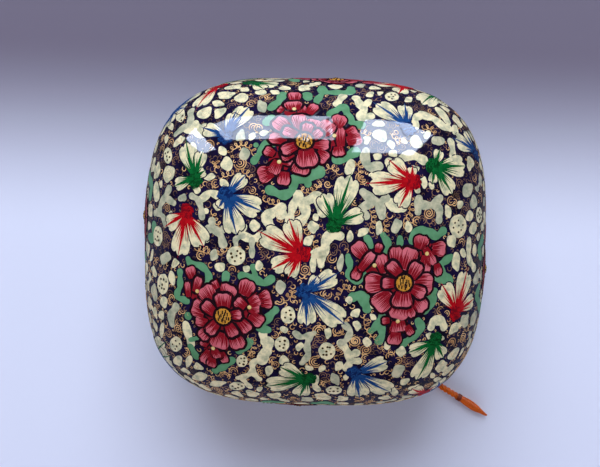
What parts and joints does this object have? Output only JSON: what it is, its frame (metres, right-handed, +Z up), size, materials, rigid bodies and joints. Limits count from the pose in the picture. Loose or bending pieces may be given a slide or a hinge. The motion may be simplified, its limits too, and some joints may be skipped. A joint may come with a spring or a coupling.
{
  "type": "kashmiri papier mache box",
  "caption": "Small cushion-shaped lidded box of varnished papier mache, painted all over with flowers. Its lid lifts straight off a collar that is glued inside the base.",
  "frame": {"origin": "middle of the foot, on the ground", "axes": "+X along the wider side of the plan, +Y along the narrower side towards the back of the box, +Z up through the lid"},
  "size_m": [0.1086, 0.1073, 0.067],
  "materials": {
    "lacquered_pulp": "moulded paper pulp under chalk ground, all-over flower painting and glossy varnish",
    "lacquered_board": "pasteboard strip painted and varnished dark",
    "raised_paint": "dab of thick yellow paint under glossy varnish",
    "rust_silk": "twisted rust-orange silk, brushed out at its end"
  },
  "bodies": {
    "base": {"base_shell": "lacquered_pulp", "collar": "lacquered_board", "cord_tail": "rust_silk", "cord_binding": "rust_silk", "cord_tuft": "rust_silk"},
    "lid": {"lid_shell": "lacquered_pulp", "crown_dab_back": "raised_paint", "crown_dab_left": "raised_paint", "crown_dab_right": "raised_paint", "side_dab_front": "raised_paint", "side_dab_right": "raised_paint", "side_dab_back": "raised_paint", "side_dab_left": "raised_paint"}
  },
  "joints": [
    {"name": "lid_lift", "type": "slide", "parent": "base", "child": "lid", "axis": [0, 0, 1], "range_m": [0, 0.07]}
  ]
}
